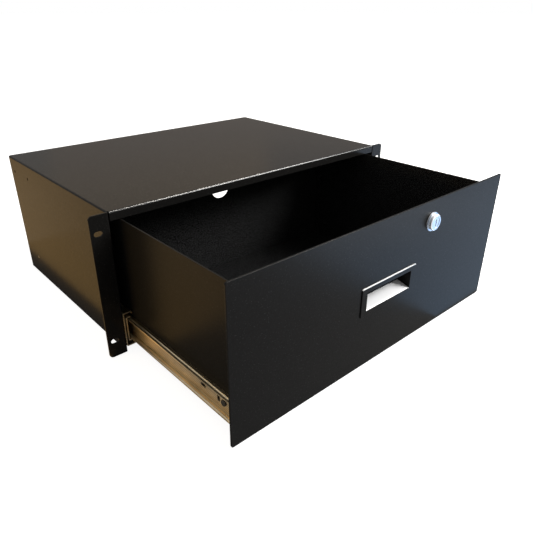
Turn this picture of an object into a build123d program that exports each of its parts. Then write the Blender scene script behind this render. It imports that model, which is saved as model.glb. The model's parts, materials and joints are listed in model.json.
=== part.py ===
from build123d import *
import os

# Sliding rack drawer, four units high, drawn out on its slides.
# X runs to the right, Y to the rear, Z up. The origin is the centre of the four
# rack slots, on the front face of the ears. Heights are measured from the foot
# of the ears and lengths are millimetres.

# Rack ears
rack_width = 482.6
ear_width = 21.3
slot_inset_x = 8.75
slot_inset_z = 20.975
slot_width = 6.0
slot_length = 9.5
ear_corner_radius = 5.0

# Chassis shell
chassis_depth = 308.0
chassis_height = 175.3
chassis_sheet = 1.5
chassis_bend_radius = 2.2
flange_height = 10.3
flange_seam = 0.9
bend_reach = 8.0
rear_hole_radius = 2.0
rear_hole_drop = 20.3
rear_hole_spacing = 50.4
rear_hole_inset = 14.5

# Drawer
drawer_extension = 203.4
panel_thickness = 2.0
panel_gap = 0.5
panel_overhang = 2.0
panel_foot_height = 2.2
panel_head_gap = 0.1
panel_corner_radius = 2.5
panel_edge_radius = 0.5
tray_sheet = 1.5
tray_foot_height = 5.0
tray_rim_gap = 1.2
tray_tail = 6.5
tray_bend_radius = 2.2
front_tab_width = 15.0
back_flange_length = 12.0
cable_hole_radius = 16.0
cable_hole_drop = 32.8
relief_radius = 1.8
relief_inset_side = 4.9
relief_inset_rear = 3.4

# Slides: three members each side, with ball cages between them
slide_thickness = 12.7
slide_centre_height = 28.8
slide_setback = 0.5
slide_tail = 5.5
slide_sheet = 1.2
cabinet_member_height = 45.0
cabinet_member_depth = 11.6
cabinet_bend_radius = 1.8
cabinet_lip = 2.2
middle_member_height = 31.8
middle_member_depth = 5.7
middle_web_offset = 3.2
drawer_member_height = 25.6
drawer_member_depth = 7.1
bumper_length = 5.5
bumper_gap = 0.5
outer_ball_radius = 2.4
outer_ball_offset = 6.9
outer_ball_pitch = 22.0
outer_ball_count = 7
outer_cage_start = 66.0
inner_ball_radius = 1.2
inner_ball_offset = 2.5
inner_ball_pitch = 16.0
ball_clearance = 0.2
cage_sheet = 0.5
cage_web_gap = 0.4
cage_end = 8.0
cage_flange_overhang = 0.9

# Slide fixings, measured along each member from its ends
cabinet_screw_front = 36.5
cabinet_screw_tail = 34.5
drawer_screw_front = 27.0
drawer_screw_tail = 18.0
drawer_slot_upright = 36.0
drawer_slot_level = 61.5
web_slot_width = 4.2
web_slot_length = 8.5
screw_radius = 2.0
screw_hole_clearance = 0.2
flat_head_radius = 3.6
flat_head_height = 0.7
pan_head_radius = 3.6
pan_head_height = 1.8
screw_tip = 1.0

# Panel studs and nuts, and back panel rivets
stud_radius = 2.0
stud_length = 8.0
stud_inset = 7.5
stud_foot_inset = 19.0
stud_rim_inset = 17.8
nut_across_flats = 7.0
nut_height = 3.2
nut_bore_clearance = 0.05
rivet_radius = 1.6
rivet_head_radius = 3.2
rivet_head_height = 0.9
rivet_foot_inset = 57.0
rivet_rim_inset = 17.8

# Pull handle
handle_height = 87.2
bezel_width = 95.0
bezel_length_z = 35.0
bezel_proud = 1.3
bezel_corner_radius = 1.5
bezel_edge_radius = 0.6
mouth_width = 78.0
mouth_height = 22.5
cup_wall = 1.6
cup_depth = 20.0
cup_floor_rise = 6.0
cup_floor_radius = 6.0
cutout_clearance = 0.3
handle_stud_radius = 1.5
handle_stud_length = 8.0
handle_stud_x = 44.6
handle_nut_across_flats = 5.5
handle_nut_height = 2.4
handle_washer_radius = 3.2
handle_washer_thickness = 0.6

# Cam lock
lock_x = 70.0
lock_drop = 25.7
lock_flange_radius = 11.0
lock_flange_thickness = 1.2
lock_head_radius = 9.3
lock_head_height = 4.3
lock_head_chamfer = 0.7
lock_barrel_radius = 8.0
lock_barrel_length = 20.0
lock_hole_clearance = 0.15
lock_washer_radius = 10.5
lock_washer_thickness = 0.8
lock_nut_across_flats = 19.0
lock_nut_height = 4.5
plug_radius = 6.4
plug_clearance = 0.08
plug_recess = 0.4
keyway_width = 2.0
keyway_height = 8.0
keyway_depth = 9.0
plug_square = 7.5
plug_square_length = 3.2
cam_thickness = 2.0
cam_width = 12.0
cam_reach = 22.5
cam_step_radius = 15.2
cam_step = 16.0
cam_seat_gap = 0.3
cam_screw_head_radius = 5.0
cam_screw_head_height = 2.2

# Sizes that follow others
chassis_width = rack_width - 2 * ear_width
slot_spacing_x = rack_width - 2 * slot_inset_x
slot_spacing_z = chassis_height - 2 * slot_inset_z
rear_hole_height = chassis_height - rear_hole_drop
panel_width = chassis_width + 2 * panel_overhang
panel_height = chassis_height - panel_foot_height - panel_head_gap
lock_height = panel_foot_height + panel_height - lock_drop
tray_rim_height = chassis_height - flange_height - tray_rim_gap
cable_hole_height = tray_rim_height - cable_hole_drop
cabinet_member_length = chassis_depth - slide_setback - slide_tail
inner_member_length = cabinet_member_length - bumper_length - bumper_gap
tray_length = panel_gap + inner_member_length + tray_tail
cabinet_screw_rear = cabinet_member_length - cabinet_screw_tail
drawer_screw_rear = inner_member_length - drawer_screw_tail

# Planes and edges that several pieces share
foot_z = -chassis_height / 2
top_z = chassis_height / 2
wall_inner = chassis_width / 2 - chassis_sheet
tray_half = wall_inner - slide_thickness
tray_inner = tray_half - tray_sheet
panel_front = -drawer_extension
panel_rear = panel_front + panel_thickness
tray_back = panel_rear + tray_length
tray_floor = foot_z + tray_foot_height
tray_rim = foot_z + tray_rim_height
slide_z = foot_z + slide_centre_height
member_front = slide_setback
drawer_member_front = panel_rear + panel_gap
cabinet_web = -wall_inner
middle_web = cabinet_web + middle_web_offset
drawer_web = -tray_half
outer_ball_x = cabinet_web + outer_ball_offset
inner_ball_x = drawer_web - drawer_member_depth + inner_ball_offset
middle_inner_half = middle_member_height / 2 - slide_sheet
outer_ball_z = (cabinet_member_height / 2 - slide_sheet + middle_member_height / 2) / 2
inner_ball_z = middle_inner_half - ball_clearance - inner_ball_radius
lock_z = foot_z + lock_height
handle_z = foot_z + handle_height
screw_hole_radius = screw_radius + screw_hole_clearance

# The inner cage fills the length where the drawer's member still lies in the middle one
inner_overlap = drawer_member_front + inner_member_length - member_front
inner_ball_count = int((inner_overlap - 2 * cage_end) / inner_ball_pitch) + 1
inner_cage_start = member_front + (inner_overlap - (inner_ball_count - 1) * inner_ball_pitch) / 2


def block(x0, x1, y0, y1, z0, z1):
    """A box between two corners."""
    return Pos((x0 + x1) / 2, (y0 + y1) / 2, (z0 + z1) / 2) * Box(x1 - x0, y1 - y0, z1 - z0)


def rect(u0, u1, v0, v1):
    """A flat rectangle between two corners."""
    return Pos((u0 + u1) / 2, (v0 + v1) / 2) * Rectangle(u1 - u0, v1 - v0)


def along_y(sketch, y0, y1):
    """A sketch drawn in X and Z, carried from y0 to y1."""
    return extrude(Plane((0, y1, 0), (1, 0, 0), (0, -1, 0)) * sketch, y1 - y0)


def along_x(sketch, x0, x1):
    """A sketch drawn in Y and Z, carried from x0 to x1."""
    return extrude(Plane((x0, 0, 0), (0, 1, 0), (1, 0, 0)) * sketch, x1 - x0)


def along_z(sketch, z0, z1):
    """A sketch drawn in X and Y, carried from z0 to z1."""
    return extrude(Plane((0, 0, z0)) * sketch, z1 - z0)


def rod_x(radius, x0, x1, y, z):
    """A round bar along X."""
    return along_x(Pos(y, z) * Circle(radius), min(x0, x1), max(x0, x1))


def rod_y(radius, y0, y1, x, z):
    """A round bar along Y."""
    return along_y(Pos(x, z) * Circle(radius), y0, y1)


def hexagon_y(across_flats, y0, y1, x, z):
    """A hexagonal bar along Y."""
    shape = RegularPolygon(across_flats / 2, 6, major_radius=False)
    return along_y(Pos(x, z) * shape, y0, y1)


def both_sides(shape):
    """A left shape together with its mirror image on the right."""
    return shape + mirror(shape, Plane.YZ)


def corner_fillet(sketch, u, v, radius):
    """Round the one vertex of a sketch that lies at a point."""
    vertex = sketch.vertices().sort_by_distance((u, v, 0))[0]
    return fillet(vertex, radius)


# Chassis

def ear_left():
    """Left rack ear and the bend that joins it to the wall."""
    profile = rect(-rack_width / 2, -wall_inner, 0, chassis_sheet)
    profile += rect(-chassis_width / 2, -wall_inner, 0, bend_reach)
    profile = corner_fillet(profile, -wall_inner, 0, chassis_bend_radius)
    profile = corner_fillet(profile, -chassis_width / 2, chassis_sheet, chassis_bend_radius - chassis_sheet)
    ear = along_z(profile, foot_z, top_z)
    outer_edges = ear.edges().filter_by(Axis.Y).group_by(Axis.X)[0]
    ear = fillet(outer_edges, ear_corner_radius)
    for z in (-slot_spacing_z / 2, slot_spacing_z / 2):
        slot = Pos(-slot_spacing_x / 2, z) * SlotOverall(slot_length, slot_width)
        ear -= along_y(slot, -chassis_sheet, 2 * chassis_sheet)
    return ear


def front_flange():
    """Front edge of the top sheet, bent down between the ears."""
    half = wall_inner - flange_seam
    profile = rect(0, bend_reach, top_z - chassis_sheet, top_z)
    profile += rect(0, chassis_sheet, top_z - flange_height, top_z)
    profile = corner_fillet(profile, 0, top_z, chassis_bend_radius)
    inside = chassis_bend_radius - chassis_sheet
    profile = corner_fillet(profile, chassis_sheet, top_z - chassis_sheet, inside)
    return along_x(profile, -half, half)


def chassis_shell():
    """One folded sheet: top, two walls, front flange and both rack ears."""
    outer = rect(-chassis_width / 2, chassis_width / 2, foot_z, top_z)
    outer = fillet(outer.vertices().group_by(Axis.Y)[-1], chassis_bend_radius)
    inner = rect(-wall_inner, wall_inner, foot_z - chassis_sheet, top_z - chassis_sheet)
    inner = fillet(inner.vertices().group_by(Axis.Y)[-1], chassis_bend_radius - chassis_sheet)
    shell = along_y(outer - inner, bend_reach / 2, chassis_depth)
    half = wall_inner - flange_seam
    shell -= block(-half, half, 0, bend_reach, top_z - chassis_sheet, top_z)
    shell += front_flange()
    rounded = along_y(outer, 0, chassis_depth)
    ear_room = both_sides(block(-rack_width / 2, -chassis_width / 2, 0, bend_reach, foot_z, top_z))
    shell += both_sides(ear_left()) & (rounded + ear_room)
    rear = chassis_depth - rear_hole_inset
    for y in (rear, rear - rear_hole_spacing):
        shell -= rod_x(rear_hole_radius, -chassis_width, chassis_width, y, foot_z + rear_hole_height)
    for reach in (cabinet_screw_front, cabinet_screw_rear):
        shell -= rod_x(screw_hole_radius, -chassis_width, chassis_width, member_front + reach, slide_z)
    return shell


# Slides, drawn for the left side

def cabinet_member():
    """Fixed outer channel of the slide, with its edges curled in."""
    half = cabinet_member_height / 2
    end = cabinet_web + cabinet_member_depth
    outer = rect(cabinet_web, end, slide_z - half, slide_z + half)
    outer = fillet(outer.vertices(), cabinet_bend_radius)
    inner = rect(cabinet_web + slide_sheet, end - slide_sheet, slide_z - half + slide_sheet,
                 slide_z + half - slide_sheet)
    inner = fillet(inner.vertices(), cabinet_bend_radius - slide_sheet)
    mouth = half - slide_sheet - cabinet_lip
    profile = outer - inner - rect(end - 2 * slide_sheet, end + slide_sheet, slide_z - mouth, slide_z + mouth)
    member = along_y(profile, member_front, member_front + cabinet_member_length)
    x0 = cabinet_web - slide_sheet
    x1 = cabinet_web + 2 * slide_sheet
    for reach in (cabinet_screw_front, cabinet_screw_rear):
        member -= rod_x(screw_hole_radius, x0, x1, member_front + reach, slide_z)
    return member


def middle_member():
    """Middle channel of the slide, which rides in the fixed one."""
    half = middle_member_height / 2
    end = middle_web + middle_member_depth
    outer = rect(middle_web, end, slide_z - half, slide_z + half)
    outer = fillet(outer.vertices().group_by(Axis.X)[0], cabinet_bend_radius)
    inner = rect(middle_web + slide_sheet, end + slide_sheet, slide_z - half + slide_sheet,
                 slide_z + half - slide_sheet)
    inner = fillet(inner.vertices().group_by(Axis.X)[0], cabinet_bend_radius - slide_sheet)
    return along_y(outer - inner, member_front, member_front + inner_member_length)


def drawer_member():
    """Inner channel of the slide, on the drawer, with a ball groove in each edge."""
    half = drawer_member_height / 2
    end = drawer_web - drawer_member_depth
    profile = rect(end, drawer_web, slide_z - half, slide_z + half)
    profile -= rect(end - slide_sheet, drawer_web - slide_sheet, slide_z - half + slide_sheet,
                    slide_z + half - slide_sheet)
    groove = inner_ball_radius + ball_clearance
    stretch = rect(end, drawer_web - slide_sheet, slide_z - half, slide_z + half)
    for z in (slide_z - inner_ball_z, slide_z + inner_ball_z):
        profile += (Pos(inner_ball_x, z) * Circle(groove + slide_sheet)) & stretch
    for z in (slide_z - inner_ball_z, slide_z + inner_ball_z):
        profile -= Pos(inner_ball_x, z) * Circle(groove)
    front = drawer_member_front
    member = along_y(profile, front, front + inner_member_length)
    x0 = drawer_web - 2 * slide_sheet
    x1 = drawer_web + slide_sheet
    for reach in (drawer_screw_front, drawer_screw_rear):
        member -= rod_x(screw_hole_radius, x0, x1, front + reach, slide_z)
    upright = Pos(front + drawer_slot_upright, slide_z) * Rot(0, 0, 90) * SlotOverall(web_slot_length,
                                                                                      web_slot_width)
    level = Pos(front + drawer_slot_level, slide_z) * SlotOverall(web_slot_length, web_slot_width)
    return member - along_x(upright, x0, x1) - along_x(level, x0, x1)


def rear_bumper():
    """Soft stop at the rear end of the fixed channel."""
    half = cabinet_member_height / 2 - slide_sheet
    rear = member_front + cabinet_member_length
    x0 = cabinet_web + slide_sheet
    x1 = cabinet_web + cabinet_member_depth - slide_sheet
    shape = rect(x0, x1, slide_z - half, slide_z + half)
    shape = fillet(shape.vertices(), cabinet_bend_radius - slide_sheet)
    return along_y(shape, rear - bumper_length, rear)


def ball_places(start, pitch, count, ball_z):
    """Y and Z of the balls in the upper and lower row of a cage."""
    places = []
    for row in (slide_z - ball_z, slide_z + ball_z):
        for step in range(count):
            places.append((start + step * pitch, row))
    return places


def cage(web_x, flange_end, flange_z, start, pitch, count, ball_x, ball_z, ball_radius):
    """Folded strip that keeps two rows of balls apart."""
    y0 = start - cage_end
    y1 = start + (count - 1) * pitch + cage_end
    strip = block(web_x, web_x + cage_sheet, y0, y1, slide_z - flange_z, slide_z + flange_z)
    strip += block(web_x, flange_end, y0, y1, slide_z + flange_z - cage_sheet, slide_z + flange_z)
    strip += block(web_x, flange_end, y0, y1, slide_z - flange_z, slide_z - flange_z + cage_sheet)
    for y, z in ball_places(start, pitch, count, ball_z):
        strip -= Pos(ball_x, y, z) * Sphere(ball_radius + ball_clearance)
    return strip


def outer_cage():
    """Cage between the fixed channel and the middle one."""
    web_x = middle_web - cage_web_gap - cage_sheet
    flange_end = outer_ball_x + outer_ball_radius + cage_flange_overhang
    flange_z = outer_ball_z + cage_sheet / 2
    return cage(web_x, flange_end, flange_z, outer_cage_start, outer_ball_pitch, outer_ball_count,
                outer_ball_x, outer_ball_z, outer_ball_radius)


def inner_cage():
    """Cage between the middle channel and the drawer's own."""
    web_x = middle_web + slide_sheet + cage_web_gap
    flange_end = inner_ball_x + inner_ball_radius + cage_flange_overhang
    flange_z = inner_ball_z + cage_sheet
    return cage(web_x, flange_end, flange_z, inner_cage_start, inner_ball_pitch, inner_ball_count,
                inner_ball_x, inner_ball_z, inner_ball_radius)


def outer_balls():
    """Balls of the outer cage."""
    places = ball_places(outer_cage_start, outer_ball_pitch, outer_ball_count, outer_ball_z)
    return [Pos(outer_ball_x, y, z) * Sphere(outer_ball_radius) for y, z in places]


def inner_balls():
    """Balls of the inner cage."""
    places = ball_places(inner_cage_start, inner_ball_pitch, inner_ball_count, inner_ball_z)
    return [Pos(inner_ball_x, y, z) * Sphere(inner_ball_radius) for y, z in places]


def cabinet_screws():
    """Flat screws that hold the fixed channel to the chassis wall."""
    face = cabinet_web + slide_sheet
    screws = []
    for reach in (cabinet_screw_front, cabinet_screw_rear):
        y = member_front + reach
        shank = rod_x(screw_radius, -chassis_width / 2, face, y, slide_z)
        head = rod_x(flat_head_radius, face, face + flat_head_height, y, slide_z)
        screws.append(shank + head)
    return screws


def drawer_screws():
    """Pan head screws that hold the drawer's channel to the tray."""
    face = drawer_web - slide_sheet
    screws = []
    for reach in (drawer_screw_front, drawer_screw_rear):
        y = drawer_member_front + reach
        shank = rod_x(screw_radius, face, -tray_inner + screw_tip, y, slide_z)
        head = rod_x(pan_head_radius, face - pan_head_height, face, y, slide_z)
        head = fillet(head.edges().group_by(Axis.X)[0], pan_head_height / 3)
        screws.append(shank + head)
    return screws


# Drawer

def drawer_tray():
    """Folded bottom and sides of the drawer."""
    outer = rect(-tray_half, tray_half, tray_floor, tray_rim)
    outer = fillet(outer.vertices().group_by(Axis.Y)[0], tray_bend_radius)
    inner = rect(-tray_inner, tray_inner, tray_floor + tray_sheet, tray_rim + tray_sheet)
    inner = fillet(inner.vertices().group_by(Axis.Y)[0], tray_bend_radius - tray_sheet)
    tray = along_y(outer - inner, panel_rear, tray_back)
    for reach in (drawer_screw_front, drawer_screw_rear):
        y = drawer_member_front + reach
        tray -= rod_x(screw_hole_radius, -chassis_width, chassis_width, y, slide_z)
    for z in rivet_places():
        y = tray_back - back_flange_length / 2
        tray -= rod_x(rivet_radius, -chassis_width, chassis_width, y, z)
    relief_x = tray_half - relief_inset_side
    relief_y = tray_back - relief_inset_rear
    for x in (-relief_x, relief_x):
        tray -= along_z(Pos(x, relief_y) * Circle(relief_radius), tray_floor, tray_floor + tray_sheet)
    return tray


def tray_front_tabs():
    """Tabs at the front of the tray's sides, which the front panel is bolted to."""
    tab = block(-tray_inner, -tray_half + front_tab_width, panel_rear, panel_rear + tray_sheet,
                tray_floor + tray_bend_radius, tray_rim)
    tabs = [tab, mirror(tab, Plane.YZ)]
    for x, z in stud_places():
        hole = rod_y(stud_radius + screw_hole_clearance, panel_rear, panel_rear + tray_sheet, x, z)
        tabs = [tab - hole for tab in tabs]
    return tabs


def three_between(foot_inset, rim_inset):
    """Three heights, evenly spaced, above the tray's foot and below its rim."""
    low = tray_floor + foot_inset
    high = tray_rim - rim_inset
    return [low, (low + high) / 2, high]


def stud_places():
    """X and Z of the studs that hold the front panel."""
    x = tray_half - stud_inset
    return [(side * x, z) for side in (-1, 1) for z in three_between(stud_foot_inset, stud_rim_inset)]


def rivet_places():
    """Z of the rivets along each side flange of the back panel."""
    return three_between(rivet_foot_inset, rivet_rim_inset)


def drawer_back_panel():
    """Rear wall of the drawer, with side flanges, a foot on the tray and a hole for cables."""
    inside = tray_back - tray_sheet
    profile = rect(-tray_inner, tray_inner, inside, tray_back)
    flange = rect(-tray_inner, -tray_inner + tray_sheet, tray_back - back_flange_length, tray_back)
    profile += flange + mirror(flange, Plane.YZ)
    panel = along_z(profile, tray_floor + tray_bend_radius, tray_rim)
    foot_half = tray_half - tray_bend_radius
    panel += block(-foot_half, foot_half, inside, tray_back, tray_floor + tray_sheet,
                   tray_floor + tray_bend_radius)
    hole_z = foot_z + cable_hole_height
    panel -= rod_y(cable_hole_radius, inside - tray_sheet, tray_back + tray_sheet, 0, hole_z)
    for z in rivet_places():
        panel -= rod_x(rivet_radius, -chassis_width, chassis_width, tray_back - back_flange_length / 2, z)
    return panel


def back_panel_rivets():
    """Rivets through the tray sides into the back panel's flanges."""
    rivets = []
    y = tray_back - back_flange_length / 2
    for z in rivet_places():
        shank = rod_x(rivet_radius, -tray_half, -tray_inner + tray_sheet, y, z)
        head = rod_x(rivet_head_radius, -tray_half - rivet_head_height, -tray_half, y, z)
        head = fillet(head.edges().group_by(Axis.X)[0], rivet_head_height * 0.6)
        tail = rod_x(rivet_head_radius * 0.8, -tray_inner + tray_sheet,
                     -tray_inner + tray_sheet + rivet_head_height, y, z)
        rivet = shank + head + tail
        rivets.append(rivet)
        rivets.append(mirror(rivet, Plane.YZ))
    return rivets


def front_panel():
    """Flat front of the drawer, with openings for the pull and the lock."""
    foot = foot_z + panel_foot_height
    shape = rect(-panel_width / 2, panel_width / 2, foot, foot + panel_height)
    shape = fillet(shape.vertices(), panel_corner_radius)
    panel = along_y(shape, panel_front, panel_rear)
    panel = fillet(panel.edges().group_by(Axis.Y)[0], panel_edge_radius)
    half_x = mouth_width / 2 + cup_wall + cutout_clearance
    half_z = mouth_height / 2 + cup_wall + cutout_clearance
    panel -= block(-half_x, half_x, panel_front, panel_rear, handle_z - half_z, handle_z + half_z)
    for x in (-handle_stud_x, handle_stud_x):
        panel -= rod_y(handle_stud_radius + screw_hole_clearance, panel_front, panel_rear, x, handle_z)
    panel -= rod_y(lock_barrel_radius + lock_hole_clearance, panel_front, panel_rear, lock_x, lock_z)
    return panel


def panel_studs():
    """Studs welded to the rear of the front panel."""
    return [rod_y(stud_radius, panel_rear, panel_rear + stud_length, x, z) for x, z in stud_places()]


def panel_nuts():
    """Nuts that pull the front panel against the tray's tabs."""
    seat = panel_rear + tray_sheet
    nuts = []
    for x, z in stud_places():
        nut = hexagon_y(nut_across_flats, seat, seat + nut_height, x, z)
        nuts.append(nut - rod_y(stud_radius + nut_bore_clearance, seat, seat + nut_height, x, z))
    return nuts


# Pull handle

def pull_handle():
    """Recessed pull: a thin bezel in front and a dished cup behind it."""
    face = panel_front - bezel_proud
    half_x = bezel_width / 2
    half_z = bezel_length_z / 2
    shape = rect(-half_x, half_x, handle_z - half_z, handle_z + half_z)
    bezel = along_y(fillet(shape.vertices(), bezel_corner_radius), face, panel_front)
    bezel = fillet(bezel.edges().group_by(Axis.Y)[0], bezel_edge_radius)
    mouth_x = mouth_width / 2
    mouth_z = mouth_height / 2
    cup = block(-mouth_x - cup_wall, mouth_x + cup_wall, panel_front, panel_front + cup_depth + cup_wall,
                handle_z - mouth_z - cup_wall, handle_z + mouth_z + cup_wall)
    rear_edges = cup.edges().group_by(Axis.Y)[-1]
    cup = fillet(rear_edges, cup_wall)
    back = panel_front + cup_depth
    low = handle_z - mouth_z
    high = handle_z + mouth_z
    hollow = Polygon((face, low), (back, low + cup_floor_rise), (back, high), (face, high), align=None)
    hollow = corner_fillet(hollow, back, low + cup_floor_rise, cup_floor_radius)
    pull = bezel + cup - along_x(hollow, -mouth_x, mouth_x)
    for x in (-handle_stud_x, handle_stud_x):
        pull += rod_y(handle_stud_radius, panel_front, panel_front + handle_stud_length, x, handle_z)
    return pull


def handle_washers():
    """Washers behind the panel, on the pull's studs."""
    washers = []
    rear = panel_rear + handle_washer_thickness
    for x in (-handle_stud_x, handle_stud_x):
        washer = rod_y(handle_washer_radius, panel_rear, rear, x, handle_z)
        bore = rod_y(handle_stud_radius + nut_bore_clearance, panel_rear, rear, x, handle_z)
        washers.append(washer - bore - handle_cup_room())
    return washers


def handle_cup_room():
    """The space of the cup behind the panel, which its fixings keep clear of."""
    half_x = mouth_width / 2 + cup_wall + cutout_clearance
    half_z = mouth_height / 2 + cup_wall + cutout_clearance
    return block(-half_x, half_x, panel_rear, panel_rear + cup_depth, handle_z - half_z, handle_z + half_z)


def handle_nuts():
    """Nuts that hold the pull to the panel."""
    seat = panel_rear + handle_washer_thickness
    nuts = []
    for x in (-handle_stud_x, handle_stud_x):
        nut = hexagon_y(handle_nut_across_flats, seat, seat + handle_nut_height, x, handle_z)
        bore = rod_y(handle_stud_radius + nut_bore_clearance, seat, seat + handle_nut_height, x, handle_z)
        nuts.append(nut - bore)
    return nuts


# Cam lock

def lock_housing():
    """Fixed body of the lock: flange, raised head and threaded barrel."""
    flange_face = panel_front - lock_flange_thickness
    head_face = flange_face - lock_head_height
    flange = rod_y(lock_flange_radius, flange_face, panel_front, lock_x, lock_z)
    head = rod_y(lock_head_radius, head_face, flange_face, lock_x, lock_z)
    head = chamfer(head.edges().group_by(Axis.Y)[0], lock_head_chamfer)
    barrel = rod_y(lock_barrel_radius, panel_front, panel_front + lock_barrel_length, lock_x, lock_z)
    bore = rod_y(plug_radius + plug_clearance, head_face, panel_front + lock_barrel_length, lock_x, lock_z)
    return flange + head + barrel - bore


def lock_washer():
    """Washer between the panel and the lock's nut."""
    rear = panel_rear + lock_washer_thickness
    ring = rod_y(lock_washer_radius, panel_rear, rear, lock_x, lock_z)
    return ring - rod_y(lock_barrel_radius + nut_bore_clearance, panel_rear, rear, lock_x, lock_z)


def lock_nut():
    """Large nut that clamps the lock to the panel."""
    front = panel_rear + lock_washer_thickness
    rear = front + lock_nut_height
    nut = hexagon_y(lock_nut_across_flats, front, rear, lock_x, lock_z)
    return nut - rod_y(lock_barrel_radius + nut_bore_clearance, front, rear, lock_x, lock_z)


def lock_plug():
    """Turning core of the lock, with the keyway and the square for the cam."""
    face = panel_front - lock_flange_thickness - lock_head_height + plug_recess
    rear = panel_front + lock_barrel_length + cam_seat_gap
    plug = rod_y(plug_radius, face, rear, lock_x, lock_z)
    keyway = Pos(lock_x, lock_z) * Rectangle(keyway_width, keyway_height)
    plug -= along_y(keyway, face, face + keyway_depth)
    square = Pos(lock_x, lock_z) * Rectangle(plug_square, plug_square)
    return plug + along_y(square, rear, rear + plug_square_length)


def lock_cam():
    """Stepped cam, turned aside, whose tip swings up behind the chassis flange."""
    front = panel_front + lock_barrel_length + cam_seat_gap
    rear = front + cam_thickness
    step_front = rear - cam_step
    inner_x = lock_x - cam_step_radius
    outer_x = inner_x - cam_thickness
    low = lock_z - cam_width / 2
    high = lock_z + cam_width / 2
    hub = rod_y(cam_width / 2, front, rear, lock_x, lock_z)
    arm = block(outer_x, lock_x, front, rear, low, high)
    riser = block(outer_x, inner_x, step_front, rear, low, high)
    tip = block(lock_x - cam_reach, inner_x, step_front, step_front + cam_thickness, low, high)
    tip = fillet(tip.edges().filter_by(Axis.Y).group_by(Axis.X)[0], cam_thickness)
    square = Pos(lock_x, lock_z) * Rectangle(plug_square, plug_square)
    return hub + arm + riser + tip - along_y(square, front, rear)


def cam_screw():
    """Screw that holds the cam on the plug's square."""
    seat = panel_front + lock_barrel_length + cam_seat_gap + plug_square_length
    head = rod_y(cam_screw_head_radius, seat, seat + cam_screw_head_height, lock_x, lock_z)
    head = fillet(head.edges().group_by(Axis.Y)[-1], cam_screw_head_height / 3)
    slot = block(lock_x - cam_screw_head_radius, lock_x + cam_screw_head_radius,
                 seat + cam_screw_head_height / 2, seat + cam_screw_head_height,
                 lock_z - keyway_width / 4, lock_z + keyway_width / 4)
    return head - slot


# Files, one for each node

def save(name, shapes):
    """Write one node, made of one solid or of a group of separate solids."""
    solids = []
    for shape in shapes if isinstance(shapes, list) else [shapes]:
        solids.extend(shape.solids())
    export_step(solids[0] if len(solids) == 1 else Compound(children=solids), f"parts/{name}.step")


def save_pair(name, shapes):
    """Write a left node and its mirror image on the right."""
    items = shapes if isinstance(shapes, list) else [shapes]
    save(name + "_left", items)
    save(name + "_right", [mirror(item, Plane.YZ) for item in items])


os.makedirs("parts", exist_ok=True)
save("chassis_shell", chassis_shell())
save_pair("cabinet_slide_member", cabinet_member())
save_pair("cabinet_slide_screws", cabinet_screws())
save_pair("rear_bumper", rear_bumper())
save_pair("outer_ball_cage", outer_cage())
save_pair("outer_balls", outer_balls())
save_pair("middle_slide_member", middle_member())
save_pair("inner_ball_cage", inner_cage())
save_pair("inner_balls", inner_balls())
save_pair("drawer_slide_member", drawer_member())
save_pair("drawer_slide_screws", drawer_screws())
save("drawer_tray", drawer_tray())
save("tray_front_tabs", tray_front_tabs())
save("drawer_back_panel", drawer_back_panel())
save("back_panel_rivets", back_panel_rivets())
save("front_panel", front_panel())
save("panel_studs", panel_studs())
save("panel_nuts", panel_nuts())
save("pull_handle", pull_handle())
save("handle_washers", handle_washers())
save("handle_nuts", handle_nuts())
save("lock_housing", lock_housing())
save("lock_washer", lock_washer())
save("lock_nut", lock_nut())
save("lock_plug", lock_plug())
save("lock_cam", lock_cam())
save("cam_screw", cam_screw())
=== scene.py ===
import json
import math

import bpy
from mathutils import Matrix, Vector


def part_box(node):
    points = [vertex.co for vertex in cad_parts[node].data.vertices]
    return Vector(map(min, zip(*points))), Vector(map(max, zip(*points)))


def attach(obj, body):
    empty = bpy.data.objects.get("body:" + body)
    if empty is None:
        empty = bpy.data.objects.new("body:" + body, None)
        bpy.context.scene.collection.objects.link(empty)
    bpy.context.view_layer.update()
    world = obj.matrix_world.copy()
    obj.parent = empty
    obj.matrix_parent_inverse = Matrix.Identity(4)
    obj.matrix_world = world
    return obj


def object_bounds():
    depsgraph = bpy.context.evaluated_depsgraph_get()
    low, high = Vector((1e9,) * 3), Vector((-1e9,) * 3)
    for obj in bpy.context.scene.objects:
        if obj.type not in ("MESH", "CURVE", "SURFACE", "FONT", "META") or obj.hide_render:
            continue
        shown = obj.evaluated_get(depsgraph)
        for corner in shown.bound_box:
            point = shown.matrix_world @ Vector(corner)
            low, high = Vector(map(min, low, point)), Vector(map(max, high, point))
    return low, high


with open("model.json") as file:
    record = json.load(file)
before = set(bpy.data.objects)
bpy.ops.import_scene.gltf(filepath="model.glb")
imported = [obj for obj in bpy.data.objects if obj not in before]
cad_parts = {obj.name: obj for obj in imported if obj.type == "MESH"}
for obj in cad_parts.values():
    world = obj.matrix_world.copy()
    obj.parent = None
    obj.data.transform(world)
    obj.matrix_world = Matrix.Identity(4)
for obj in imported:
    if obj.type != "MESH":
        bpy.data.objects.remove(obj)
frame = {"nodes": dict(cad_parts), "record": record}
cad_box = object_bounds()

# Sliding rack drawer, drawn out on its slides, in satin black powder coat.
# Lengths are metres, in the part's own frame: X to the right, Y to the rear, Z up.

MM = 0.001
SCENE = bpy.context.scene
FLOOR_HEIGHT = cad_box[0][2]


# Camera. Angles are degrees, the lens and its sensor millimetres.

CAMERA_PLACE = (-0.43102, -0.48720, 0.27779)
CAMERA_TILT = 26.596
CAMERA_TURN = -41.562
CAMERA_LENS = 35.0
CAMERA_SENSOR = 36.0


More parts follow.
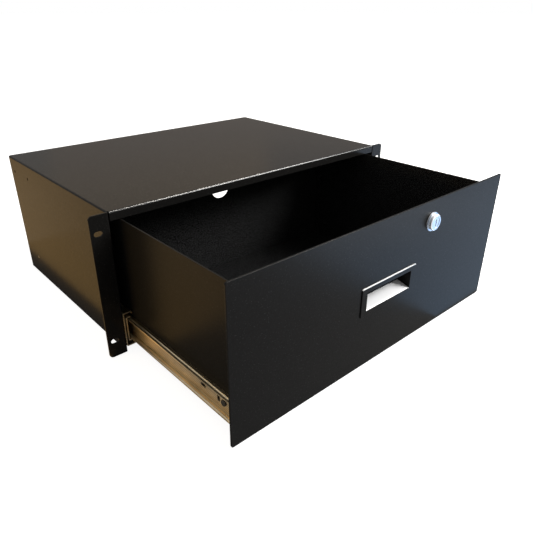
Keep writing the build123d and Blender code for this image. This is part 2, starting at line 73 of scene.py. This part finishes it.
def add_camera():
    """The camera at the photograph's place and angle."""
    data = bpy.data.cameras.new("camera")
    data.sensor_width = CAMERA_SENSOR
    data.lens = CAMERA_LENS
    camera = bpy.data.objects.new("camera", data)
    camera.location = CAMERA_PLACE
    camera.rotation_euler = (math.radians(90 - CAMERA_TILT), 0, math.radians(CAMERA_TURN))
    SCENE.collection.objects.link(camera)
    SCENE.camera = camera


# Lamps: a key from the front right, a strip high up that faces down, two weak warm ones behind, a warm
# one at the left, and three that lie by the floor and face up: a warm, a blue and a pale one. The black
# surfaces take their tints from the coloured ones. Each row says the lamp's place, the point that it
# faces, its width, height and power, and its colour.

LOW = FLOOR_HEIGHT + 2 * MM
ABOVE_LOW = FLOOR_HEIGHT + 3 * MM
LAMPS = {
    "key_lamp": ((1.02, -0.99, 0.94), (0, -0.1, 0), 0.9, 0.5, 32.0, (1.0, 1.0, 1.0)),
    "strip_lamp": ((0.70, -0.30, 1.20), (0.70, -0.30, 0), 0.87, 0.08, 29.0, (1.0, 0.95, 0.86)),
    "rear_lamp": ((0.6, 1.5, 0.75), (0, 0.1, 0), 1.2, 0.4, 1.15, (1.0, 0.60, 0.14)),
    "rear_right_lamp": ((0.9, 1.35, 0.35), (0, 0.1, 0), 1.4, 0.5, 0.5, (1.0, 0.45, 0.06)),
    "left_lamp": ((-1.5, 0.2, 0.06), (-0.2, 0, 0), 0.8, 0.16, 9.0, (1.0, 0.68, 0.30)),
    "left_low_lamp": ((-0.455, 0.56, LOW), (-0.455, 0.56, 1), 0.434, 1.16, 2.9, (1.0, 0.58, 0.16)),
    "front_low_lamp": ((0.60, -0.433, LOW), (0.60, -0.433, 1), 0.96, 0.453, 3.3, (0.35, 0.62, 1.0)),
    "front_haze_lamp": ((0.36, -0.55, ABOVE_LOW), (0.36, -0.55, 1), 0.40, 0.22, 0.8, (1.0, 0.97, 0.92)),
}


def add_softbox(name, place, aim, width, height, power, colour):
    """A soft rectangular lamp that the camera doesn't see."""
    data = bpy.data.lights.new(name, "AREA")
    data.shape = "RECTANGLE"
    data.size = width
    data.size_y = height
    data.energy = power
    data.color = colour
    lamp = bpy.data.objects.new(name, data)
    lamp.location = place
    lamp.rotation_euler = (Vector(aim) - Vector(place)).to_track_quat("-Z", "Y").to_euler()
    lamp.visible_camera = False
    SCENE.collection.objects.link(lamp)


def add_lights():
    """Every lamp in the list."""
    for name, row in LAMPS.items():
        add_softbox(name, *row)


# Steps that the materials are made of

def maths(tree, operation, first, second=None):
    """One step of arithmetic on sockets or numbers."""
    node = tree.nodes.new("ShaderNodeMath")
    node.operation = operation
    for place, value in enumerate((first, second)):
        if isinstance(value, (int, float)):
            node.inputs[place].default_value = value
        elif value is not None:
            tree.links.new(value, node.inputs[place])
    return node.outputs[0]


def spread(tree, value, low, high):
    """Stretch a 0 to 1 socket between two numbers."""
    node = tree.nodes.new("ShaderNodeMapRange")
    node.inputs["To Min"].default_value = low
    node.inputs["To Max"].default_value = high
    tree.links.new(value, node.inputs["Value"])
    return node.outputs["Result"]


def own_place(tree):
    """Where a point lies on its piece, which stays the same when the piece moves."""
    return tree.nodes.new("ShaderNodeTexCoord").outputs["Object"]


def split(tree, vector):
    """The X, Y and Z of a vector socket."""
    node = tree.nodes.new("ShaderNodeSeparateXYZ")
    tree.links.new(vector, node.inputs[0])
    return node.outputs


def noise(tree, vector, scale, detail=3.0, roughness=0.6):
    """Soft noise, from 0 to 1."""
    node = tree.nodes.new("ShaderNodeTexNoise")
    node.inputs["Detail"].default_value = detail
    node.inputs["Roughness"].default_value = roughness
    tree.links.new(vector, node.inputs["Vector"])
    if isinstance(scale, (int, float)):
        node.inputs["Scale"].default_value = scale
    else:
        tree.links.new(scale, node.inputs["Scale"])
    return node.outputs["Fac"]


def inside_box(tree, low, high):
    """A mask that is 1 between two corners."""
    parts = split(tree, own_place(tree))
    mask = 1.0
    for axis, start, end in zip("XYZ", low, high):
        mask = maths(tree, "MULTIPLY", maths(tree, "GREATER_THAN", parts[axis], start), mask)
        mask = maths(tree, "MULTIPLY", maths(tree, "LESS_THAN", parts[axis], end), mask)
    return mask


def blend_colours(tree, factor, first, second):
    """A colour between two plain colours or sockets."""
    node = tree.nodes.new("ShaderNodeMix")
    node.data_type = "RGBA"
    tree.links.new(factor, node.inputs["Factor"])
    for label, value in (("A", first), ("B", second)):
        socket = [s for s in node.inputs if s.name == label and s.type == "RGBA"][0]
        if isinstance(value, tuple):
            socket.default_value = (*value, 1)
        else:
            tree.links.new(value, socket)
    return [s for s in node.outputs if s.type == "RGBA"][0]


def bump(tree, shader, height, strength, depth, base=None):
    """Give the shader a surface relief."""
    node = tree.nodes.new("ShaderNodeBump")
    node.inputs["Strength"].default_value = strength
    node.inputs["Distance"].default_value = depth
    tree.links.new(height, node.inputs["Height"])
    if base is not None:
        tree.links.new(base, node.inputs["Normal"])
    tree.links.new(node.outputs["Normal"], shader.inputs["Normal"])


# Floor and background

WORLD_LIGHT = 0.3
BACKGROUND_GLOW = 1.0
FLOOR_GLOW = 0.9
FLOOR_GLOW_REFLECTED = 0.1
FLOOR_COLOUR = (0.50, 0.50, 0.50, 1)
FLOOR_ROUGHNESS = 0.9
FLOOR_SHINE = 0.1
FLOOR_SIZE = 60.0
WHITE = (1, 1, 1, 1)


def seen_directly(tree, camera, reflected):
    """A strength for camera rays, and another for mirror and glass rays."""
    path = tree.nodes.new("ShaderNodeLightPath")
    mirror = maths(tree, "MAXIMUM", path.outputs["Is Glossy Ray"], path.outputs["Is Transmission Ray"])
    mirror = maths(tree, "MULTIPLY", mirror, reflected)
    return maths(tree, "MAXIMUM", maths(tree, "MULTIPLY", path.outputs["Is Camera Ray"], camera), mirror)


def add_world():
    """A white background, and a low even light from all around."""
    world = bpy.data.worlds.new("studio")
    SCENE.world = world
    world.use_nodes = True
    tree = world.node_tree
    tree.nodes.clear()
    background = tree.nodes.new("ShaderNodeBackground")
    background.inputs["Color"].default_value = WHITE
    glow = seen_directly(tree, BACKGROUND_GLOW, BACKGROUND_GLOW)
    tree.links.new(maths(tree, "MAXIMUM", glow, WORLD_LIGHT), background.inputs["Strength"])
    output = tree.nodes.new("ShaderNodeOutputWorld")
    tree.links.new(background.outputs[0], output.inputs["Surface"])


def add_floor():
    """A plain floor that looks pale to the camera and keeps the object's shadow."""
    half = FLOOR_SIZE / 2
    mesh = bpy.data.meshes.new("floor")
    corners = [(-half, -half, 0), (half, -half, 0), (half, half, 0), (-half, half, 0)]
    mesh.from_pydata(corners, [], [(0, 1, 2, 3)])
    floor = bpy.data.objects.new("floor", mesh)
    floor.location = (0, 0, FLOOR_HEIGHT)
    SCENE.collection.objects.link(floor)
    material = bpy.data.materials.new("pale_floor")
    material.use_nodes = True
    tree = material.node_tree
    shader = tree.nodes["Principled BSDF"]
    shader.inputs["Base Color"].default_value = FLOOR_COLOUR
    shader.inputs["Roughness"].default_value = FLOOR_ROUGHNESS
    shader.inputs["Specular IOR Level"].default_value = FLOOR_SHINE
    shader.inputs["Emission Color"].default_value = WHITE
    glow = seen_directly(tree, FLOOR_GLOW, FLOOR_GLOW_REFLECTED)
    tree.links.new(glow, shader.inputs["Emission Strength"])
    mesh.materials.append(material)


# Shader groups that several finishes share. Scales count repeats in a metre.

GRAIN_SHARE = 0.6
FLECK_SCALE_SHARE = 0.7
FLECK_CUT = 0.66
BEVEL_SAMPLES = 4
WEAR_GAIN = 4.0
WEAR_LEAST = 0.2


def new_group(name, inputs, outputs):
    """An empty shader group, with numbers going in and the stated kinds of socket coming out."""
    tree = bpy.data.node_groups.new(name, "ShaderNodeTree")
    for label in inputs:
        tree.interface.new_socket(label, in_out="INPUT", socket_type="NodeSocketFloat")
    for label, kind in outputs.items():
        tree.interface.new_socket(label, in_out="OUTPUT", socket_type=kind)
    return tree, tree.nodes.new("NodeGroupInput"), tree.nodes.new("NodeGroupOutput")


def make_coat_grain():
    """The fine pebbled skin of a powder coat, and the flecks in it."""
    outputs = {"Height": "NodeSocketFloat", "Speck": "NodeSocketFloat"}
    tree, given, made = new_group("coat_grain", ("Grain", "Pebble"), outputs)
    place = own_place(tree)
    grain = noise(tree, place, given.outputs["Grain"])
    pebble = tree.nodes.new("ShaderNodeTexVoronoi")
    pebble.feature = "SMOOTH_F1"
    tree.links.new(place, pebble.inputs["Vector"])
    tree.links.new(given.outputs["Pebble"], pebble.inputs["Scale"])
    dome = maths(tree, "SUBTRACT", 1.0, pebble.outputs["Distance"])
    grain = maths(tree, "MULTIPLY", grain, GRAIN_SHARE)
    height = maths(tree, "ADD", grain, maths(tree, "MULTIPLY", dome, 1 - GRAIN_SHARE))
    tree.links.new(height, made.inputs["Height"])
    fleck_scale = maths(tree, "MULTIPLY", given.outputs["Grain"], FLECK_SCALE_SHARE)
    flecks = noise(tree, place, fleck_scale, detail=2.0, roughness=0.5)
    speck = maths(tree, "GREATER_THAN", flecks, FLECK_CUT)
    tree.links.new(speck, made.inputs["Speck"])
    return tree


def make_drift():
    """Slow changes over a surface, such as a coat that is thicker in places, or handling."""
    tree, given, made = new_group("drift", ("Scale",), {"Value": "NodeSocketFloat"})
    slow = noise(tree, own_place(tree), given.outputs["Scale"], detail=4.0, roughness=0.55)
    tree.links.new(slow, made.inputs["Value"])
    return tree


def make_edge_wear():
    """A mask that rises along sharp edges, broken up as rubbed paint is, and a rounded normal."""
    outputs = {"Mask": "NodeSocketFloat", "Normal": "NodeSocketVector"}
    tree, given, made = new_group("edge_wear", ("Reach", "Break"), outputs)
    bevel = tree.nodes.new("ShaderNodeBevel")
    bevel.samples = BEVEL_SAMPLES
    tree.links.new(given.outputs["Reach"], bevel.inputs["Radius"])
    geometry = tree.nodes.new("ShaderNodeNewGeometry")
    along = tree.nodes.new("ShaderNodeVectorMath")
    along.operation = "DOT_PRODUCT"
    tree.links.new(bevel.outputs["Normal"], along.inputs[0])
    tree.links.new(geometry.outputs["Normal"], along.inputs[1])
    edge = maths(tree, "SUBTRACT", 1.0, along.outputs["Value"])
    edge = maths(tree, "MINIMUM", maths(tree, "MULTIPLY", edge, WEAR_GAIN), 1.0)
    patch = spread(tree, noise(tree, own_place(tree), given.outputs["Break"]), WEAR_LEAST, 1.0)
    tree.links.new(maths(tree, "MULTIPLY", edge, patch), made.inputs["Mask"])
    tree.links.new(bevel.outputs["Normal"], made.inputs["Normal"])
    return tree


def make_drawn_lines():
    """Fine lines along Y, as on strip that was rolled and drawn."""
    tree, given, made = new_group("drawn_lines", ("Across", "Along"), {"Value": "NodeSocketFloat"})
    place = own_place(tree)
    scale = tree.nodes.new("ShaderNodeCombineXYZ")
    for axis, label in (("X", "Across"), ("Y", "Along"), ("Z", "Across")):
        tree.links.new(given.outputs[label], scale.inputs[axis])
    stretched = tree.nodes.new("ShaderNodeVectorMath")
    stretched.operation = "MULTIPLY"
    tree.links.new(place, stretched.inputs[0])
    tree.links.new(scale.outputs[0], stretched.inputs[1])
    tree.links.new(noise(tree, stretched.outputs[0], 1.0), made.inputs["Value"])
    return tree


COAT_GRAIN = make_coat_grain()
DRIFT = make_drift()
EDGE_WEAR = make_edge_wear()
DRAWN_LINES = make_drawn_lines()


def place_group(tree, group, **values):
    """Put a shared group into a material, with its own values."""
    node = tree.nodes.new("ShaderNodeGroup")
    node.node_tree = group
    for label, value in values.items():
        node.inputs[label].default_value = value
    return node


# Boxes in which a coat changes. SKIN is how far one reaches past a surface, or stops short of it.

SKIN = 0.1 * MM
BEND_HALF_LENGTH = 218.6 * MM
BEND_DEPTH = 1.4 * MM
BEZEL_EDGE_DEPTH = 1.3 * MM
BEZEL_EDGE_HEIGHT = 0.9 * MM
TRAY_WALL = 1.5 * MM
INSIDE_FRONT = -204.0 * MM
INSIDE_REAR_GAP = 0.2 * MM

CHASSIS_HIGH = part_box("chassis_shell")[1]
PULL_LOW, PULL_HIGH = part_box("pull_handle")
TRAY_LOW, TRAY_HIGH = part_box("drawer_tray")
TO_INSIDE = TRAY_WALL - SKIN

FRONT_BEND = (
    (-BEND_HALF_LENGTH, -SKIN, CHASSIS_HIGH[2] - BEND_DEPTH),
    (BEND_HALF_LENGTH, BEND_DEPTH, CHASSIS_HIGH[2] + SKIN),
)
BEZEL_TOP = (
    (PULL_LOW[0], PULL_LOW[1] - SKIN, PULL_HIGH[2] - BEZEL_EDGE_HEIGHT),
    (PULL_HIGH[0], PULL_LOW[1] + BEZEL_EDGE_DEPTH, PULL_HIGH[2] + SKIN),
)
DRAWER_INSIDE = (
    (TRAY_LOW[0] + TO_INSIDE, INSIDE_FRONT, TRAY_LOW[2] + TO_INSIDE),
    (TRAY_HIGH[0] - TO_INSIDE, TRAY_HIGH[1] - INSIDE_REAR_GAP, TRAY_HIGH[2] - SKIN),
)


# Finishes

def grey(value):
    """An even grey."""
    return (value, value, value)


COAT_DEPTH = 0.3 * MM
COAT_RELIEF = 0.3
COAT_ROUGHNESS = (0.5, 0.6)
FILM_SPREAD = 0.3
SMOOTH_RELIEF = 0.05
METAL_DEPTH = 0.1 * MM
GRIT_DARK = grey(0.004)
GRIT_LIGHT = grey(0.048)
GRIT_FILM = 0.3
GRIT_SCALE = 950.0
GRIT_CUT = 0.54
TONE_GAIN = 2.0
RIB_PITCH = 2.4 * MM
FACING_FORWARD = -0.95
FINISHES = {}


def new_finish(name):
    """A material with its shader, ready for nodes, kept in FINISHES under its name."""
    material = bpy.data.materials.new(name)
    material.use_nodes = True
    FINISHES[name] = material
    return material.node_tree, material.node_tree.nodes["Principled BSDF"]


def powder_coat(name, dark, light, fleck, worn, film, film_matt, gloss=0.0, relief=COAT_RELIEF,
                bright_edge=None, edge_highlight_colour=None, coarse_box=None):
    """Satin black powder coat: a fine pebbled skin with small flecks, and a film that gives the sheen.

    With little relief it is a smooth coat, as on the pull and the screws, or black rubber.
    bright_edge is a box round an edge where the film runs thick, smooth and glossy, and the edge colour a
    pale colour painted there as a highlight. Inside coarse_box the coat is a coarser grit with a thinner
    film.
    """
    tree, shader = new_finish(name)
    grain = place_group(tree, COAT_GRAIN, Grain=900.0, Pebble=420.0)
    drift = place_group(tree, DRIFT, Scale=7.0)
    wear = place_group(tree, EDGE_WEAR, Reach=0.5 * MM, Break=160.0)
    colour = blend_colours(tree, drift.outputs["Value"], dark, light)
    colour = blend_colours(tree, grain.outputs["Speck"], colour, fleck)
    colour = blend_colours(tree, wear.outputs["Mask"], colour, worn)
    sheen = spread(tree, grain.outputs["Height"], film * (1 - FILM_SPREAD), film * (1 + FILM_SPREAD))
    height = grain.outputs["Height"]
    if coarse_box:
        grit = noise(tree, own_place(tree), GRIT_SCALE, detail=1.0, roughness=0.5)
        grit = maths(tree, "GREATER_THAN", grit, GRIT_CUT)
        gritty = blend_colours(tree, grit, GRIT_DARK, GRIT_LIGHT)
        inside = inside_box(tree, *coarse_box)
        colour = blend_colours(tree, inside, colour, gritty)
        sheen = maths(tree, "MULTIPLY", sheen, spread(tree, inside, 1.0, GRIT_FILM))
    if bright_edge:
        edge = inside_box(tree, *bright_edge)
        sheen = maths(tree, "MAXIMUM", sheen, edge)
        height = maths(tree, "MULTIPLY", height, maths(tree, "SUBTRACT", 1.0, edge))
        # A pale colour blended in along the edge box: a painted highlight, as on the top edge of the
        # pull's bezel.
        if edge_highlight_colour:
            colour = blend_colours(tree, edge, colour, edge_highlight_colour)
    tree.links.new(colour, shader.inputs["Base Color"])
    tree.links.new(spread(tree, drift.outputs["Value"], *COAT_ROUGHNESS), shader.inputs["Roughness"])
    shader.inputs["Specular IOR Level"].default_value = gloss
    tree.links.new(sheen, shader.inputs["Coat Weight"])
    shader.inputs["Coat Roughness"].default_value = film_matt
    bump(tree, shader, height, relief, COAT_DEPTH, wear.outputs["Normal"])


def ribs(tree):
    """Even lines along Y, one above the other, as a roll leaves them on strip."""
    height = split(tree, own_place(tree))["Z"]
    wave = maths(tree, "SINE", maths(tree, "MULTIPLY", height, 2 * math.pi / RIB_PITCH))
    return maths(tree, "ADD", maths(tree, "MULTIPLY", wave, 0.5), 0.5)


def bare_metal(name, dark, light, rough, relief, rib_share=0.0):
    """Plated or rolled steel with lines along its length, and ribs where rib_share is above 0."""
    tree, shader = new_finish(name)
    lines = place_group(tree, DRAWN_LINES, Across=1500.0, Along=12.0)
    drift = place_group(tree, DRIFT, Scale=24.0)
    wear = place_group(tree, EDGE_WEAR, Reach=0.3 * MM, Break=300.0)
    tone = maths(tree, "MULTIPLY", lines.outputs["Value"], drift.outputs["Value"])
    tone = maths(tree, "MULTIPLY", tone, TONE_GAIN)
    if rib_share:
        rib = maths(tree, "ADD", maths(tree, "MULTIPLY", ribs(tree), rib_share), 1 - rib_share / 2)
        tone = maths(tree, "MULTIPLY", tone, rib)
    tree.links.new(blend_colours(tree, tone, dark, light), shader.inputs["Base Color"])
    shader.inputs["Metallic"].default_value = 1.0
    tree.links.new(spread(tree, tone, *rough), shader.inputs["Roughness"])
    bump(tree, shader, lines.outputs["Value"], relief, METAL_DEPTH, wear.outputs["Normal"])


def chrome_with_painted_face_reflection(name, face_reflection_dark, face_reflection_light, side, rough_face, rough_side, relief):
    """Satin chrome, darker on the flat faces that look forward than round the side: the forward faces
    carry a dark bluish painted reflection.
    """
    tree, shader = new_finish(name)
    lines = place_group(tree, DRAWN_LINES, Across=900.0, Along=900.0)
    normal = tree.nodes.new("ShaderNodeNewGeometry").outputs["Normal"]
    # Faces that look forward get a darker, bluish colour: a painted reflection.
    face = maths(tree, "LESS_THAN", split(tree, normal)["Y"], FACING_FORWARD)
    satin = blend_colours(tree, lines.outputs["Value"], face_reflection_dark, face_reflection_light)
    tree.links.new(blend_colours(tree, face, side, satin), shader.inputs["Base Color"])
    shader.inputs["Metallic"].default_value = 1.0
    tree.links.new(spread(tree, face, rough_side, rough_face), shader.inputs["Roughness"])
    bump(tree, shader, lines.outputs["Value"], relief, METAL_DEPTH)


def painted_highlight_plate(name, dark, light, rough):
    """Pale matt plate with a fine even grain; its pale colour is a painted highlight."""
    tree, shader = new_finish(name)
    grain = place_group(tree, COAT_GRAIN, Grain=1600.0, Pebble=900.0)
    drift = place_group(tree, DRIFT, Scale=40.0)
    tree.links.new(blend_colours(tree, drift.outputs["Value"], dark, light), shader.inputs["Base Color"])
    shader.inputs["Roughness"].default_value = rough
    bump(tree, shader, grain.outputs["Height"], SMOOTH_RELIEF, METAL_DEPTH)


def make_finishes():
    """Every finish, named as its slot in the part's record, and one more for the scene's own plate in the
    pull's recess, whose pale colour is a painted highlight.
    """
    powder_coat("chassis_powder_coat", dark=(0.0062, 0.0060, 0.0058), light=(0.0082, 0.0079, 0.0076),
                fleck=(0.026, 0.025, 0.024), worn=(0.030, 0.029, 0.027), film=0.19, film_matt=0.22,
                bright_edge=FRONT_BEND)
    powder_coat("drawer_powder_coat", dark=(0.0050, 0.0048, 0.0045), light=(0.0075, 0.0072, 0.0068),
                fleck=(0.014, 0.0135, 0.013), worn=(0.030, 0.028, 0.025), film=0.135, film_matt=0.32,
                coarse_box=DRAWER_INSIDE)
    powder_coat("panel_powder_coat", dark=(0.0034, 0.0035, 0.0037), light=(0.0046, 0.0047, 0.0050),
                fleck=(0.015, 0.0155, 0.016), worn=(0.030, 0.031, 0.032), film=0.18, film_matt=0.32)
    # The pull gets a painted highlight, a pale grey, along the top edge of its bezel.
    powder_coat("pull_black", dark=(0.0045, 0.0046, 0.0048), light=(0.0060, 0.0061, 0.0064),
                fleck=grey(0.012), worn=grey(0.080), film=0.165, film_matt=0.28, relief=SMOOTH_RELIEF,
                bright_edge=BEZEL_TOP, edge_highlight_colour=grey(0.50))
    # Near-white colour for the plate in the pull's recess: a painted highlight.
    painted_highlight_plate("recess_painted_highlight", dark=(0.90, 0.90, 0.89), light=grey(0.96), rough=0.55)
    powder_coat("fastener_black", dark=grey(0.0060), light=grey(0.0090), fleck=grey(0.012),
                worn=grey(0.040), film=0.2, film_matt=0.3, gloss=0.2, relief=SMOOTH_RELIEF)
    powder_coat("bumper_rubber", dark=grey(0.010), light=grey(0.016), fleck=grey(0.020),
                worn=grey(0.020), film=0.0, film_matt=0.5, gloss=0.2, relief=0.1)
    bare_metal("slide_zinc", dark=(0.26, 0.21, 0.13), light=(0.72, 0.59, 0.40), rough=(0.28, 0.46),
               relief=0.35, rib_share=1.2)
    bare_metal("cage_steel", dark=(0.42, 0.41, 0.38), light=(0.58, 0.57, 0.53), rough=(0.3, 0.45),
               relief=0.06)
    bare_metal("ball_steel", dark=grey(0.66), light=(0.76, 0.76, 0.77), rough=(0.06, 0.12), relief=0.0)
    bare_metal("fastener_zinc", dark=(0.52, 0.53, 0.54), light=(0.68, 0.68, 0.66), rough=(0.22, 0.36),
               relief=0.05)
    # The lock's forward faces carry a painted reflection, dark and bluish; its sides are bright chrome.
    chrome_with_painted_face_reflection("lock_chrome", face_reflection_dark=(0.15, 0.19, 0.24), face_reflection_light=(0.21, 0.25, 0.31),
                side=(0.84, 0.86, 0.90), rough_face=0.30, rough_side=0.45, relief=0.03)
    bare_metal("lock_steel", dark=(0.50, 0.50, 0.48), light=(0.64, 0.64, 0.61), rough=(0.26, 0.4),
               relief=0.05)


def dress_nodes():
    """Give every node of the part the finish of its slot."""
    for row in frame["record"]["subparts"]:
        node = frame["nodes"][row["node"]]
        finish = FINISHES[row["material_slot"]]
        if not node.material_slots:
            node.data.materials.append(finish)
        for slot in node.material_slots:
            slot.material = finish


# The pale plate in the pull's recess, a painted highlight on its floor

PLATE_THICKNESS = 0.25 * MM
PLATE_SIDE_GAP = 0.15 * MM
PLATE_FRONT_GAP = 0.4 * MM
PLATE_LENGTH = 17.0 * MM
PLATE_CROWN = 0.04 * MM
PLATE_CELLS_ACROSS = 24
PLATE_CELLS_ALONG = 8
RECESS_HALF_WIDTH = 39.0 * MM
RECESS_FLOOR_FRONT = -11.70 * MM
RECESS_RISE = 6.0 * MM
RECESS_DEPTH = 21.3 * MM
RECESS_SLOPE = RECESS_RISE / RECESS_DEPTH


def add_recess_highlight_plate():
    """Thin bright plate laid on the sloped floor of the pull's recess, a little crowned in its middle. Its
    pale colour is a painted highlight on that floor.
    """
    half = RECESS_HALF_WIDTH - PLATE_SIDE_GAP
    run = Vector((0, 1, RECESS_SLOPE)).normalized()
    up = Vector((0, -RECESS_SLOPE, 1)).normalized()
    start = Vector((0, PULL_LOW[1], RECESS_FLOOR_FRONT)) + run * PLATE_FRONT_GAP
    points = []
    for j in range(PLATE_CELLS_ALONG + 1):
        v = 2 * j / PLATE_CELLS_ALONG - 1
        middle = start + run * (PLATE_LENGTH * j / PLATE_CELLS_ALONG)
        for i in range(PLATE_CELLS_ACROSS + 1):
            u = 2 * i / PLATE_CELLS_ACROSS - 1
            lift = PLATE_THICKNESS + PLATE_CROWN * (1 - u * u) * (1 - v * v)
            points.append(middle + up * lift + Vector((half * u, 0, 0)))
    wide = PLATE_CELLS_ACROSS + 1
    faces = []
    for j in range(PLATE_CELLS_ALONG):
        for i in range(PLATE_CELLS_ACROSS):
            corner = j * wide + i
            faces.append((corner, corner + 1, corner + wide + 1, corner + wide))
    # The rim's corners along the front, up the right, back along the rear and down the left
    rear_left = PLATE_CELLS_ALONG * wide
    rim = list(range(wide))
    rim += range(2 * wide - 1, rear_left + wide, wide)
    rim += range(rear_left + wide - 2, rear_left - 1, -1)
    rim += range(rear_left - wide, 0, -wide)
    low = list(range(len(points), len(points) + len(rim)))
    points += [points[corner] - up * PLATE_THICKNESS for corner in rim]
    for k in range(len(rim)):
        faces.append((rim[k - 1], low[k - 1], low[k], rim[k]))
    faces.append(low[::-1])
    data = bpy.data.meshes.new("pull_recess_highlight_plate")
    data.from_pydata(points, [], faces)
    plate = bpy.data.objects.new("pull_recess_highlight_plate", data)
    SCENE.collection.objects.link(plate)
    # The plate's pale finish paints the highlight on the recess floor.
    data.materials.append(FINISHES["recess_painted_highlight"])
    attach(plate, "drawer")


add_camera()
add_lights()
add_world()
add_floor()
make_finishes()
dress_nodes()
add_recess_highlight_plate()

SCENE.view_settings.view_transform = "Standard"
